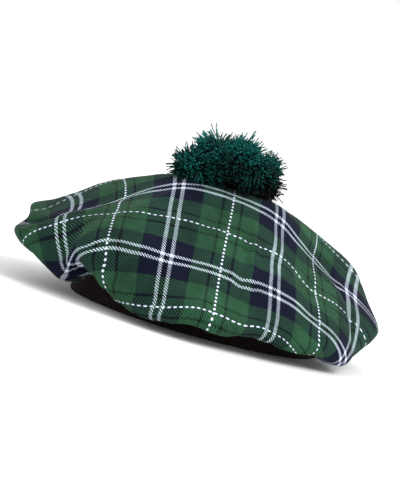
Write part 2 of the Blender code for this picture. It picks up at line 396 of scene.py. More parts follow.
@dataclass(frozen=True)
class TartanTwill:
    """Woven tartan: a mirrored sett of stripes both ways, in a two-and-two twill.

    Matt spun polyester, so it gives no glint, only a faint sheen at grazing angles. In the
    photograph its ribs are about 1.5 mm apart along each thread, or finer, since its pixels
    show no less. That is too fine to show in the render, so twill_mm draws them as coarse as
    they need to be.
    """

    repeat_mm: float = 87.5
    offset_mm: Pair = (-40.75, -28.0)
    navy: str = "0D152D"
    green: str = "305B40"
    dark_line: str = "10231B"
    gap: str = "050D22"
    white: str = "DBE4F8"
    gap_edge_mm: float = 2.1
    white_edge_mm: float = 4.85
    navy_edge_mm: float = 19.5
    green_edge_mm: float = 34.4
    dark_edge_mm: float = 36.6
    soft_edge_mm: float = 0.2
    dot_pitch_mm: Pair = (4.1, 4.55)
    dot_long_mm: Pair = (2.2, 2.9)
    dot_wide_mm: Pair = (1.8, 1.3)
    twill_mm: float = 2.35
    twill_depth: float = 0.55
    white_depth: float = 0.9
    rib_shade: float = 0.36
    white_cover: Pair = (-0.46, -0.30)
    roughness: float = 0.9
    specular: float = 0.1
    sheen: float = 0.02
    sheen_roughness: float = 0.5
    bump_mm: float = 0.12
    bump_strength: float = 0.7
    dot_soft: Pair = (0.85, 1.1)
    mottle: float = 0.3
    mottle_mm: float = 100.0 / 3.0
    mottle_detail: float = 5.0
    mottle_roughness: float = 0.8
    mottle_range: Pair = (0.36, 0.64)

    def _stripe_colour(self, add: Adder, folded: Node) -> Node:
        """Colour a set of threads by how far they lie from the middle of the white pair.

        Args:
            add: what adds nodes to the material.
            folded: the distance from the middle of the white pair, as a share of half the repeat.

        Returns:
            The node that gives the colour.
        """
        ramp = add("ShaderNodeValToRGB", [folded])
        half, soft = self.repeat_mm / 2.0, self.soft_edge_mm
        bands = ((self.gap, self.gap_edge_mm), (self.white, self.white_edge_mm),
                 (self.navy, self.navy_edge_mm), (self.green, self.green_edge_mm),
                 (self.dark_line, self.dark_edge_mm), (self.green, half))
        stops = [(0.0, bands[0][0])]
        for (here, edge), (beyond, _) in zip(bands, bands[1:]):
            stops += [((edge - soft) / half, here), ((edge + soft) / half, beyond)]
        elements = ramp.color_ramp.elements
        elements[0].color = linear_colour(stops[0][1])
        elements[1].color = linear_colour(self.green)
        for place, colour in stops[1:]:
            elements.new(place).color = linear_colour(colour)
        return ramp

    def _white_cover(self, add: Adder, folded: Node) -> Node:
        """Mark a white pair, whose threads cover more or less than half of the weave.

        Args:
            add: what adds nodes to the material.
            folded: the distance from the middle of the white pair, as a share of half the repeat.

        Returns:
            The node that gives 1 on the white threads and 0 elsewhere.
        """
        middle = (self.white_edge_mm + self.gap_edge_mm) / self.repeat_mm
        reach = (self.white_edge_mm - self.gap_edge_mm) / self.repeat_mm
        return add(MATH, [folded, middle, reach], operation="COMPARE")

    def _dots(self, add: Adder, folded: Node, along: Socket, yarns: Yarns) -> Node:
        """Mark the rounded white floats between two pairs, as ellipses in a row.

        Args:
            add: what adds nodes to the material.
            folded: the distance from the middle of the white pair, as a share of half the repeat.
            along: the place along the threads, in millimetres.
            yarns: the set of threads.

        Returns:
            The node that gives 1 on a float and fades to 0 at its edge.
        """
        pitch, long, wide = (sizes[yarns.value] for sizes in
                             (self.dot_pitch_mm, self.dot_long_mm, self.dot_wide_mm))
        across = add(MATH, [1.0, folded], operation="SUBTRACT")
        across = add(MATH, [across, self.repeat_mm / wide], operation="MULTIPLY")
        place = add(MATH, [along, pitch / 2.0], operation="PINGPONG")
        place = add(MATH, [place, 2.0 / long], operation="MULTIPLY")
        ellipse = add(COMBINE, [across, place])
        far = add(VECTOR_MATH, [ellipse], operation="LENGTH")
        return add(MAP_RANGE, [far.outputs["Value"], *self.dot_soft, 1.0, 0.0])

    def build(self) -> Material:
        """Build the material. It reads the piece's UV map, which holds flat cloth metres.

        Returns:
            The material.
        """
        material, add, shader = new_material("tartan_polyester_twill")
        cloth = add("ShaderNodeUVMap", uv_map="flat_cloth")
        scaled = add(VECTOR_MATH, {0: cloth.outputs["UV"], "Scale": 1.0 / MM}, operation="SCALE")
        axes = add(SEPARATE, [scaled])
        colours, covers, dots = [], [], []
        half = self.repeat_mm / 2.0
        for yarns in Yarns:
            across = add(MATH, [axes.outputs[yarns.value], self.offset_mm[yarns.value]],
                         operation="SUBTRACT")
            folded = add(MATH, [across, half], operation="PINGPONG")
            share = add(MATH, [folded, half], operation="DIVIDE")
            colours.append(self._stripe_colour(add, share))
            covers.append(self._white_cover(add, share))
            dots.append(self._dots(add, share, axes.outputs[1 - yarns.value], yarns))
        diagonal = add(MATH, [axes.outputs[0], axes.outputs[1]], operation="ADD")
        turns = add(MATH, [diagonal, 2.0 * math.pi / self.twill_mm], operation="MULTIPLY")
        wave = add(MATH, [turns], operation="SINE")
        white = add(MATH, covers, operation="MAXIMUM")
        depth = add(MATH, [white, self.white_depth - self.twill_depth, self.twill_depth],
                    operation="MULTIPLY_ADD")
        share = add(MATH, [wave, depth, 0.5], operation="MULTIPLY_ADD")
        warp_more = add(MATH, [covers[0], self.white_cover[0], share], operation="MULTIPLY_ADD")
        top = add(MATH, [covers[1], -self.white_cover[1], warp_more], operation="MULTIPLY_ADD",
                  use_clamp=True)
        mixed = add("ShaderNodeMix", {"Factor": top, "A": colours[1], "B": colours[0]},
                    data_type="RGBA")
        # Painted shade in the twill: the colour darkens between the ribs, to 1 - 2 * rib_shade at
        # most, but not on the white threads.
        ribbed = add(MATH, [white, -self.rib_shade, self.rib_shade], operation="MULTIPLY_ADD")
        rib = add(MATH, [turns], operation="COSINE")
        lower = add(MATH, [rib, 1.0], operation="SUBTRACT")
        shade = add(MATH, [lower, ribbed, 1.0], operation="MULTIPLY_ADD")
        woven = add(VECTOR_MATH, {0: mixed.outputs["Result"], "Scale": shade.outputs[0]},
                    operation="SCALE")
        float_mask = add(MATH, dots, operation="MAXIMUM")
        dotted = add("ShaderNodeMix", {"Factor": float_mask, "A": woven,
                                       "B": linear_colour(self.white)}, data_type="RGBA")
        place = add("ShaderNodeTexCoord")
        blotch = add("ShaderNodeTexNoise",
                     {"Vector": place.outputs["Object"], "Scale": 1.0 / (self.mottle_mm * MM),
                      "Detail": self.mottle_detail, "Roughness": self.mottle_roughness})
        gain = add(MAP_RANGE, [blotch, *self.mottle_range, 1.0 - self.mottle, 1.0 + self.mottle])
        mottled = add(VECTOR_MATH, {0: dotted.outputs["Result"], "Scale": gain}, operation="SCALE")
        raised = add(MATH, [share, float_mask], operation="ADD")
        bump = add("ShaderNodeBump",
                   {"Height": raised, "Distance": self.bump_mm * MM, "Strength": self.bump_strength})
        feed(shader, {"Base Color": mottled, "Normal": bump, "Roughness": self.roughness,
                      "Specular IOR Level": self.specular, "Sheen Weight": self.sheen,
                      "Sheen Roughness": self.sheen_roughness})
        return material


@dataclass(frozen=True)
class BandCloth:
    """Near-black brown knitted band: matt, with a little brown where light grazes it."""

    dark: str = "15100F"
    light: str = "2E2422"
    thread_mm: float = 0.7
    thread_detail: float = 2.0
    light_range: Pair = (0.35, 0.7)
    bump_mm: float = 0.2
    bump_strength: float = 0.5
    roughness: float = 0.95
    specular: float = 0.15

    def build(self) -> Material:
        """Build the material from fine thread-sized noise in Object coordinates.

        Returns:
            The material.
        """
        material, add, shader = new_material("dark_brown_rib_cloth")
        place = add("ShaderNodeTexCoord")
        fibre = add("ShaderNodeTexNoise",
                    {"Vector": place.outputs["Object"], "Scale": 1.0 / (self.thread_mm * MM),
                     "Detail": self.thread_detail})
        blend = add(MAP_RANGE, [fibre, *self.light_range])
        mix = add("ShaderNodeMix", {"Factor": blend, "A": linear_colour(self.dark),
                                    "B": linear_colour(self.light)}, data_type="RGBA")
        bump = add("ShaderNodeBump",
                   {"Height": fibre, "Distance": self.bump_mm * MM, "Strength": self.bump_strength})
        feed(shader, {"Base Color": mix.outputs["Result"], "Normal": bump,
                      "Roughness": self.roughness, "Specular IOR Level": self.specular})
        return material


@dataclass(frozen=True)
class AcrylicYarn:
    """Cut acrylic yarn, soft and a little lustrous, with painted shade at the roots and low down."""

    # Root, strand and tip colours: painted shade along each strand, near black at its root deep
    # among the strands and lighter at its tip.
    root: str = "00100F"
    strand: str = "02322F"
    tip: str = "08504A"
    root_until: float = 0.45
    strand_at: float = 0.75
    tint_gain: Pair = (0.4, 1.8)
    # Painted light: strands high up on the pompom or facing up are lighter, low or downward ones
    # darker.
    painted_light_gain: Pair = (0.0, 1.6)
    roughness: float = 0.6
    specular: float = 0.2

    def build(self) -> Material:
        """Build the material, which reads how far along each strand a point lies.

        Returns:
            The material.
        """
        material, add, shader = new_material("teal_acrylic_yarn")
        along = add("ShaderNodeAttribute", attribute_name="strand_share")
        tint = add("ShaderNodeAttribute", attribute_name="strand_tint")
        height = add("ShaderNodeAttribute", attribute_name="strand_height")
        ramp = add("ShaderNodeValToRGB", [along.outputs["Fac"]])
        elements = ramp.color_ramp.elements
        elements[0].position = self.root_until
        elements[0].color = linear_colour(self.root)
        elements[1].color = linear_colour(self.tip)
        elements.new(self.strand_at).color = linear_colour(self.strand)
        gain = add(MAP_RANGE, [tint.outputs["Fac"], 0.0, 1.0, *self.tint_gain])
        # Painted light and shade from where the strand sits on the pompom and which way it faces.
        painted_light = add(MAP_RANGE, [height.outputs["Fac"], 0.0, 1.0, *self.painted_light_gain])
        both = add(MATH, [gain, painted_light], operation="MULTIPLY")
        tinted = add(VECTOR_MATH, {0: ramp, "Scale": both}, operation="SCALE")
        feed(shader, {"Base Color": tinted, "Roughness": self.roughness,
                      "Specular IOR Level": self.specular})
        return material


# --- crown ---

@dataclass
class Crown:
    """One round of tartan cloth, turned under at the rim and gathered on to the band."""

    band_box: Box
    crown_box: Box
    spokes: int = 420
    rows: int = 104
    wall_mm: float = 1.1
    cap_half_mm: Pair = (46.0, 27.0)
    cap_drop_mm: float = 5.0
    cap_lean_mm: float = 1.8
    hem_in_mm: float = 5.0
    rim_rise_mm: float = 9.0
    under_in_mm: float = 2.0
    collar_mm: Pair = (4.0, 1.2)
    seam_mm: Pair = (2.0, 0.4)
    gather_count: int = 52
    gather_depth_mm: float = 1.9
    gather_from: float = 0.79
    gather_span: float = 0.12
    gather_end: Pair = (0.05, 0.25)
    gather_sway: tuple[tuple[int, float], ...] = ((5, 1.1), (9, 0.7))
    ripple_mm: float = 0.9
    fine_ripple: float = 0.5
    ripple_sizes_mm: Pair = (26.0, 11.0)
    ripple_fades: Pair = (0.2, 0.1)
    curve_steps: int = 16
    evened_from: float = 0.76
    evened_span: float = 0.18
    cloth_diameter: float = 0.43
    warp_turn: float = 4.5
    weft_turn: float = 1.5

    centre: Array = field(init=False)
    band_half: Array = field(init=False)
    band_top: float = field(init=False)
    top: float = field(init=False)

    def __post_init__(self) -> None:
        """Take the band's oval and the crown's height from the frame."""
        low, high = np.array(self.band_box[0]), np.array(self.band_box[1])
        self.centre = (low + high)[:2] / 2.0 / MM
        self.band_half = (high - low)[:2] / 2.0 / MM
        self.band_top = high[2] / MM
        self.top = self.crown_box[1][2] / MM

    def _section_values(self, azimuths: Array) -> dict[str, Array]:
        """Blend the section table smoothly round the crown.

        Args:
            azimuths: directions in degrees.

        Returns:
            One array for each column of the table.
        """
        table = np.array(SECTIONS, dtype=float)
        places = np.concatenate((table[-2:, 0] - 360.0, table[:, 0], table[:3, 0] + 360.0))
        rows = np.concatenate((table[-2:], table, table[:3]))
        after = np.searchsorted(places, azimuths % 360.0, side="right")
        width = places[after] - places[after - 1]
        share = ((azimuths % 360.0) - places[after - 1]) / width
        values = {}
        for column, name in enumerate(Section._fields[1:], start=1):
            v = rows[:, column]
            slope_low = (v[after] - v[after - 2]) / (places[after] - places[after - 2])
            slope_high = (v[after + 1] - v[after - 1]) / (places[after + 1] - places[after - 1])
            values[name] = hermite(v[after - 1], v[after], slope_low, slope_high, width, share)
        return values

    def _section_points(self, azimuths: Array) -> Array:
        """Points of each section from the top to the seam.

        Args:
            azimuths: directions in degrees.

        Returns:
            Radius and height in millimetres, by azimuth and point.
        """
        value = self._section_values(azimuths)
        cap = oval_radius(azimuths, *self.cap_half_mm)
        band = oval_radius(azimuths, *self.band_half)
        flat = np.zeros_like(cap)
        cap_drop = self.cap_drop_mm + self.cap_lean_mm * np.cos(np.radians(azimuths))
        cap_height = self.top - cap_drop
        brow = value["reach"] - value["brow_in"]
        brow_height = value["low"] + value["brow_up"]
        run, drop = brow - cap, brow_height - cap_height
        swell = value["swell"] / np.hypot(run, drop)
        rise = np.minimum(self.rim_rise_mm, value["brow_up"] / 2.0)
        hem = value["reach"] - self.hem_in_mm
        points = (
            (flat, flat + self.top),
            (cap / 2.0, self.top - cap_drop / 4.0),
            (cap, cap_height),
            ((cap + brow) / 2.0 - drop * swell, (cap_height + brow_height) / 2.0 + run * swell),
            (brow, brow_height),
            (value["reach"], value["low"] + rise),
            (hem, value["low"]),
            ((hem + band) / 2.0 - self.under_in_mm, value["sag"]),
            (band + self.collar_mm[0], flat + self.band_top + self.collar_mm[1]),
            (band - self.seam_mm[0], flat + self.band_top + self.seam_mm[1]),
        )
        return np.transpose(np.array(points), (2, 0, 1))

    def _section_curves(self, azimuths: Array) -> tuple[Array, Array]:
        """Even points along a smooth curve through each section's points.

        Args:
            azimuths: directions in degrees.

        Returns:
            Radius and height by azimuth and row, and each section's length, in millimetres.
        """
        points = self._section_points(azimuths)
        spans = np.sqrt(np.linalg.norm(np.diff(points, axis=1), axis=2))[..., None]
        chords = np.diff(points, axis=1) / spans
        slopes = np.zeros_like(points)
        slopes[:, 1:-1] = ((chords[:, :-1] * spans[:, 1:] + chords[:, 1:] * spans[:, :-1])
                           / (spans[:, 1:] + spans[:, :-1]))
        slopes[:, 0, 0] = chords[:, 0, 0]
        slopes[:, -1] = chords[:, -1]
        fine = [hermite(points[:, i], points[:, i + 1], slopes[:, i], slopes[:, i + 1],
                        spans[:, i], k / self.curve_steps)
                for i in range(points.shape[1] - 1) for k in range(self.curve_steps)]
        fine = np.transpose(np.array(fine + [points[:, -1]]), (1, 0, 2))
        pieces = np.linalg.norm(np.diff(fine, axis=1), axis=2)
        walked = np.concatenate((np.zeros((len(fine), 1)), np.cumsum(pieces, axis=1)), axis=1)
        shares = np.linspace(0.0, 1.0, self.rows)
        even = np.empty((len(fine), self.rows, 2))
        for i, (way, line) in enumerate(zip(walked, fine)):
            for axis in (0, 1):
                even[i, :, axis] = np.interp(shares * way[-1], way, line[:, axis])
        return even, walked[:, -1]

    def _relief(self, azimuths: Array, shares: Array, radius: Array) -> Array:
        """Depth of the folds and gathers over the whole cloth.

        Args:
            azimuths: directions in degrees.
            shares: how far along its section each row lies, from 0 to 1.
            radius: each point's radius in millimetres, by azimuth and row.

        Returns:
            How far in each point is moved, in millimetres.
        """
        depth = np.zeros_like(radius)
        azimuth = azimuths[:, None]
        for fold in FOLDS:
            way = (shares - fold.start_share) / (fold.end_share - fold.start_share)
            line = fold.start_azimuth + (fold.end_azimuth - fold.start_azimuth) * way
            off = (azimuth - line + 180.0) % 360.0 - 180.0
            across = np.abs(np.radians(off) * radius) / fold.half_width
            inside = (across < 1.0) & (way > 0.0) & (way < 1.0)
            shape = np.cos(across * math.pi / 2.0) ** 2 * np.sin(way * math.pi)
            depth += np.where(inside, fold.depth * shape, 0.0)
        turn = np.radians(azimuth)
        end_span, end_least = self.gather_end
        under = np.clip((shares - self.gather_from) / self.gather_span, 0.0, 1.0)
        under = under * np.clip((1.0 - shares) / end_span, end_least, 1.0)
        phase = self.gather_count * turn
        for times, sway in self.gather_sway:
            phase = phase + sway * np.sin(times * turn)
        return depth + self.gather_depth_mm * under * np.sin(phase)

    def _surface(self) -> tuple[Array, Array, Array]:
        """Points of the cloth's outer side, in millimetres.

        Returns:
            Points by azimuth and row, azimuths in degrees and each section's length.
        """
        azimuths = np.linspace(0.0, 360.0, self.spokes + 1)
        curves, lengths = self._section_curves(azimuths)
        along = np.gradient(curves, axis=1)
        normals = np.stack((-along[..., 1], along[..., 0]), axis=-1)
        normals /= np.linalg.norm(normals, axis=2)[..., None]
        shares = np.linspace(0.0, 1.0, self.rows)[None, :]
        depth = self._relief(azimuths, shares, curves[..., 0])
        curves = curves - normals * depth[..., None]
        turn = np.radians(azimuths)[:, None]
        points = np.stack((self.centre[0] + curves[..., 0] * np.cos(turn),
                           self.centre[1] + curves[..., 0] * np.sin(turn),
                           curves[..., 1]), axis=-1)
        fade_in, fade_out = self.ripple_fades
        fade = np.clip(shares / fade_in, 0.0, 1.0) * np.clip((1.0 - shares) / fade_out, 0.0, 1.0)
        wide, fine = self.ripple_sizes_mm
        shift = np.array([[noise.noise(Vector(point) / wide)
                           + self.fine_ripple * noise.noise(Vector(point) / fine)
                           for point in spoke] for spoke in points[:-1]])
        shift = np.concatenate((shift, shift[:1])) * fade * self.ripple_mm
        points[..., 2] += shift
        return points, azimuths, lengths

    def _flat_cloth(self, points: Array, azimuths: Array, lengths: Array) -> Array:
        """Where each point lies on the flat round of cloth, in metres.

        The cloth is laid out by its true lengths over the top and the front. Towards the band
        it is gathered, so the width that each stretch takes there comes from the whole round.
        The slack and the pulls then bend the pattern to the photograph.

        Args:
            points: the cloth's points in millimetres, by azimuth and row.
            azimuths: directions in degrees.
            lengths: each section's length in millimetres.

        Returns:
            Each point's place on the flat cloth, across and along it.
        """
        shares = np.linspace(0.0, 1.0, self.rows)
        walked = shares[None, :] * lengths[:, None]
        hoops = np.linalg.norm(np.diff(points, axis=0), axis=2)
        slips = np.diff(walked, axis=0)
        reach = np.maximum((walked[1:] + walked[:-1]) / 2.0, TINY)
        turns = np.sqrt(np.maximum(hoops ** 2 - slips ** 2, 0.0)) / reach
        middle = (azimuths[1:] + azimuths[:-1]) / 2.0
        table = np.array(SLACK)
        slack = np.interp(middle, table[:, 0], table[:, 1], period=360.0)
        slack /= slack.sum()
        full = 2.0 * math.pi
        whole = np.maximum(turns.sum(axis=0), TINY)
        gathered = np.clip((shares - self.evened_from) / self.evened_span, 0.0, 1.0)
        eased = turns + np.outer(slack, full - whole)
        even = turns * full / whole
        turns = eased * (1.0 - gathered) + even * gathered
        angle = np.concatenate((np.zeros((1, self.rows)), np.cumsum(turns, axis=0)))
        facing = int(np.argmin(np.abs(azimuths - FRONT)))
        angle += math.radians(FRONT) - angle[facing:facing + 1]
        x, y = walked * np.cos(angle), walked * np.sin(angle)
        warp, weft = math.radians(self.warp_turn), math.radians(self.weft_turn)
        flat = np.stack((x * math.cos(warp) + y * math.sin(warp),
                         y * math.cos(weft) - x * math.sin(weft)), axis=-1)
        for pull in PULLS:
            aside = np.abs((azimuths - pull.azimuth + 180.0) % 360.0 - 180.0) / pull.azimuth_span
            along = np.abs(shares - pull.share) / pull.share_span
            grip = np.outer(np.cos(np.minimum(aside, 1.0) * math.pi / 2.0) ** 2,
                            np.cos(np.minimum(along, 1.0) * math.pi / 2.0) ** 2)
            flat += grip[..., None] * np.array([pull.along_weft, pull.along_warp])
        return flat * MM

    def build(self, finish: TartanTwill) -> Piece:
        """Loft the cloth, lay its threads on it and give it its wall.

        Args:
            finish: the tartan.

        Returns:
            The finished crown.
        """
        points, azimuths, lengths = self._surface()
        flat = self._flat_cloth(points, azimuths, lengths)
        spokes, rows = self.spokes, self.rows - 1
        corners = [tuple(points[0, 0] * MM)]
        corners += [tuple(point) for point in (points[:-1, 1:] * MM).reshape(-1, 3)]
        faces: list[tuple[int, ...]] = []
        laid: list[Array] = []
        for i in range(spokes):
            here, beside = 1 + i * rows, 1 + ((i + 1) % spokes) * rows
            faces.append((0, here, beside))
            laid += [flat[i, 0], flat[i, 1], flat[i + 1, 1]]
            for j in range(rows - 1):
                faces.append((here + j, here + j + 1, beside + j + 1, beside + j))
                laid += [flat[i, j + 1], flat[i, j + 2], flat[i + 1, j + 2], flat[i + 1, j + 1]]
        mesh = bpy.data.meshes.new("tartan_crown")
        mesh.from_pydata(corners, [], faces)
        layer = mesh.uv_layers.new(name="flat_cloth")
        layer.data.foreach_set("uv", np.array(laid, dtype=np.float32).ravel())
        mesh.shade_smooth()
        mesh.materials.append(finish.build())
        crown = mesh_piece("tartan_crown", mesh)
        wall = crown.modifiers.new("wall", "SOLIDIFY")
        wall.thickness = self.wall_mm * MM
        wall.offset = -1.0
        wall.use_quality_normals = True
        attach(crown, BODY)
        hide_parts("crown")
        return crown


def hermite(low: Array, high: Array, slope_low: Array, slope_high: Array,
            width: Array, share: float | Array) -> Array:
    """Cubic between two values with given end slopes.

    Args:
        low: the value where the span starts.
        high: the value where it ends.
        slope_low: the slope where it starts.
        slope_high: the slope where it ends.
        width: the span's width.
        share: how far along the span, from 0 to 1.

    Returns:
        The value there.
    """
    square = share * share
    cube = square * share
    return ((2 * cube - 3 * square + 1) * low + (cube - 2 * square + share) * width * slope_low
            + (3 * square - 2 * cube) * high + (cube - square) * width * slope_high)


def oval_radius(azimuths: Array, half_x: float, half_y: float) -> Array:
    """Radius in each direction of an oval with the given half widths."""
    turn = np.radians(azimuths)
    return 1.0 / np.hypot(np.cos(turn) / half_x, np.sin(turn) / half_y)


# --- headband ---

@dataclass
class Headband:
    """The band's own solid, dressed in dark cloth, with fine cords round it both sides."""

    box: Box
    wall: float = 2.2 * MM
    rib_pitch: float = 1.62 * MM
    rib_radius: float = 0.62 * MM
    rib_sunk: float = 0.30 * MM
    edge_margin: float = 1.2 * MM
    rib_points: int = 200
    rib_sides: int = 8

    def _rib_tree(self) -> Tree:
        """Tree that sweeps one oval cord and stacks copies of it up the band.

        Returns:
            The tree, with named inputs.
        """
        tree, add, given = new_tree("band_ribs", {
            "Float": ("Half X", "Half Y", "Rib Radius", "Rib Pitch"), "Vector": ("Centre",),
            "Int": ("Rib Count",), "Material": ("Material",)})
        oval = add(CIRCLE, {"Resolution": self.rib_points, "Radius": 1.0})
        spread = add(COMBINE, [given["Half X"], given["Half Y"], 1.0])
        placed = add("GeometryNodeTransform",
                     {"Geometry": oval, "Scale": spread, "Translation": given["Centre"]})
        cord = add(CIRCLE, {"Resolution": self.rib_sides, "Radius": given["Rib Radius"]})
        rib = add("GeometryNodeCurveToMesh", {"Curve": placed, "Profile Curve": cord})
        step = add(COMBINE, {2: given["Rib Pitch"]})
        stack = add("GeometryNodeMeshLine", {"Count": given["Rib Count"], "Offset": step})
        ribs = add("GeometryNodeInstanceOnPoints", {"Points": stack, "Instance": rib})
        solid = add("GeometryNodeRealizeInstances", [ribs])
        close_tree(add, solid, given["Material"])
        return tree

    def build(self, finish: BandCloth) -> list[Piece]:
        """Dress the band and add the cords outside and inside it.

        Args:
            finish: the band's cloth.

        Returns:
            The two pieces of cords.
        """
        cloth = finish.build()
        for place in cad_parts["headband"].material_slots:
            place.material = cloth
        low, high = Vector(self.box[0]), Vector(self.box[1])
        centre, half = (low + high) / 2.0, (high - low) / 2.0
        room = high.z - low.z - 2.0 * self.edge_margin
        count = int(room / self.rib_pitch) + 1
        first = low.z + self.edge_margin
        tree = self._rib_tree()
        sides = (("headband_ribs_outside", -self.rib_sunk),
                 ("headband_ribs_inside", self.rib_sunk - self.wall))
        pieces = []
        for name, out in sides:
            piece = grown_piece(name, bpy.data.meshes.new(name), tree, {
                "Half X": half.x + out, "Half Y": half.y + out,
                "Centre": (centre.x, centre.y, first), "Rib Radius": self.rib_radius,
                "Rib Pitch": self.rib_pitch, "Rib Count": count, "Material": cloth})
            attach(piece, BODY)
            pieces.append(piece)
        return pieces


# --- pompom ---

class Lobe(NamedTuple):
    """One squashed ball of the pompom's tied middle, in millimetres.

    x and y are counted from the middle of the headband and z from its bottom edge.
    """

    name: str
    x: float
    y: float
    z: float
    half_x: float
    half_y: float
    half_z: float


class Tufts(NamedTuple):
    """How one kind of strand is planted over the pompom's middle, lengths in millimetres.

    gather draws the tips of a tuft together, lean tips whole tufts over, stray turns single
    strands, and uneven is the share by which tufts differ in length.
    """

    name: str
    count: int
    sides: int
    radius: float
    length: float
    sunk: float
    bend: float
    tuft_size: float
    gather: float
    lean: float
    stray: float
    uneven: float


@dataclass
class Pompom:
    """A squashed bundle of yarn ends, drawn into tufts, round a tied middle."""

    band_box: Box
    seat: float
    cap_half_mm: Pair
    cap_drop_mm: float
    seed: int = 7
    tuft_choice: float = 4.4
    lowest_slope: float = -0.25
    tip_share: float = 0.4
    # The next four fields set how the strands' painted light and shade vary with facing and height.
    shaded_slope: Pair = (-0.2, 0.95)
    slope_part: float = 0.5
    painted_shade_rise_mm: float = 25.0
    painted_shade_lean: float = 0.3
    curl_from: float = 0.45
    lying_mm: float = 0.3
    core_gap_mm: float = 0.3
    ball_detail: int = 4
    voxel_mm: float = 1.6
    taper_from: float = 0.6
    own_length: Pair = (0.88, 1.1)
    strand_points: int = 5
    lobes: tuple[Lobe, ...] = (
        Lobe("main", -1.0, 3.0, 120.5, 16.0, 18.5, 12.5),
        Lobe("low_right", 10.5, 3.0, 118.0, 13.0, 17.0, 9.5),
        Lobe("low_left", -24.0, 0.0, 112.5, 15.5, 14.0, 6.0),
        Lobe("crest", -17.5, 0.0, 130.5, 6.0, 8.0, 5.0),
    )
    kinds: tuple[Tufts, ...] = (
        Tufts("pompom_strands", 3700, 4, 0.58, 19.5, 8.0, 6.0, 11.0, 0.8, 2.6, 0.30, 0.25),
        Tufts("pompom_fibres", 1500, 3, 0.40, 24.0, 8.0, 5.0, 11.0, 0.7, 2.4, 0.5, 0.35),
    )

    def _core(self) -> Mesh:
        """Squashed balls fused into one closed mesh that sits on the crown.

        Returns:
            The mesh.
        """
        low, high = Vector(self.band_box[0]), Vector(self.band_box[1])
        middle = (low + high) / 2.0
        shape = bmesh.new()
        for lobe in self.lobes:
            ball = bmesh.ops.create_icosphere(shape, subdivisions=self.ball_detail, radius=1.0)
            half = Vector((lobe.half_x, lobe.half_y, lobe.half_z)) * MM
            place = Vector((middle.x + lobe.x * MM, middle.y + lobe.y * MM, lobe.z * MM))
            bmesh.ops.scale(shape, verts=ball["verts"], vec=half)
            bmesh.ops.translate(shape, verts=ball["verts"], vec=place)
        for corner in shape.verts:
            corner.co.z = max(corner.co.z, self.seat + self.core_gap_mm * MM)
        core = mesh_piece("pompom_core", shape_mesh("pompom_core", shape))
        melt = core.modifiers.new("melt", "REMESH")
        melt.mode = "VOXEL"
        melt.voxel_size = self.voxel_mm * MM
        fused = applied(core)
        bpy.data.objects.remove(core, do_unlink=True)
        return fused

    def _spots(self, add: Adder, given: Sockets) -> Node:
        """Scatter the roots over the core, as many as asked for.

        Args:
            add: what adds nodes to the tree.
            given: the tree's inputs.

        Returns:
            The node that gives the roots.
        """
        core = given["Geometry"]
        area = add("GeometryNodeInputMeshFaceArea")
        whole = add("GeometryNodeAttributeStatistic", {"Geometry": core, "Attribute": area},
                    domain="FACE")
        density = add(MATH, [given["Count"], whole.outputs["Sum"]], operation="DIVIDE")
        return add("GeometryNodeDistributePointsOnFaces",
                   {"Mesh": core, "Density": density, "Seed": given["Seed"]})

    def _aim(self, add: Adder, given: Sockets, normal: Socket, tuft: Node) -> Node:
        """Direction of each strand: outward, drawn to its tuft's middle, leaning with it.

        Args:
            add: what adds nodes to the tree.
            given: the tree's inputs.
            normal: the core's normal at each root.
            tuft: the node that sorts the roots into tufts.

        Returns:
            The node that gives the direction.
        """
        place = add("GeometryNodeInputPosition")
        inward = add(VECTOR_MATH, [tuft.outputs["Position"], place], operation="SUBTRACT")
        centred = add(VECTOR_MATH, [tuft.outputs["Color"], MID_COLOUR], operation="SUBTRACT")
        chance = add(RANDOM, {0: (-1.0, -1.0, -1.0), 1: (1.0, 1.0, 1.0), "Seed": given["Seed"]},
                     data_type="FLOAT_VECTOR")
        total = normal
        for part, size in ((inward, "Gather"), (centred, "Lean"), (chance, "Stray")):
            scaled = add(VECTOR_MATH, {0: part, "Scale": given[size]}, operation="SCALE")
            total = add(VECTOR_MATH, [total, scaled], operation="ADD")
        unit = add(VECTOR_MATH, [total], operation="NORMALIZE")
        x, y, z = add(SEPARATE, [unit]).outputs
        lifted = add(MATH, [z, self.lowest_slope], operation="MAXIMUM")
        return add(COMBINE, [x, y, lifted])

    def _facing(self, add: Adder, given: Sockets, aim: Node) -> Node:
        """Rotation that points a strand along its aim and spins it at random.

        Args:
            add: what adds nodes to the tree.
            given: the tree's inputs.
            aim: the node that gives the strand's direction.

        Returns:
            The node that gives the rotation.
        """
        turned = add("FunctionNodeAlignRotationToVector", {"Vector": aim}, axis="Z")
        spin = add(RANDOM, {2: 0.0, 3: 2.0 * math.pi, "Seed": given["Seed"]})
        spun = add(COMBINE, {2: spin.outputs[1]})
        return add("FunctionNodeRotateRotation", {"Rotation": turned, "Rotate By": spun},
                   rotation_space="LOCAL")

    def _strand(self, add: Adder, given: Sockets) -> Node:
        """One bent strand that narrows to its tip and knows how far along it each point is.

        Args:
            add: what adds nodes to the tree.
            given: the tree's inputs.

        Returns:
            The node that gives the strand.
        """
        back = add(MATH, [given["Sunk"], -1.0], operation="MULTIPLY")
        root = add(COMBINE, {2: back})
        reach = add(MATH, [given["Length"], given["Sunk"]], operation="SUBTRACT")
        tip = add(COMBINE, {0: given["Bend"], 2: reach})
        rise = add(MATH, [reach, self.curl_from], operation="MULTIPLY")
        knee = add(COMBINE, {2: rise})
        line = add("GeometryNodeCurveQuadraticBezier",
                   {"Resolution": self.strand_points, "Start": root, "Middle": knee, "End": tip})
        along = add("GeometryNodeSplineParameter").outputs["Factor"]
        kept = add(STORE, {"Geometry": line, "Name": "strand_share", "Value": along})
        narrow = add(MAP_RANGE, [along, self.taper_from, 1.0, 1.0, self.tip_share])
        tapered = add("GeometryNodeSetCurveRadius", {"Curve": kept, "Radius": narrow})
        ring = add(CIRCLE, {"Resolution": given["Sides"], "Radius": given["Radius"]})
        return add("GeometryNodeCurveToMesh",
                   {"Curve": tapered, "Profile Curve": ring, "Fill Caps": True})

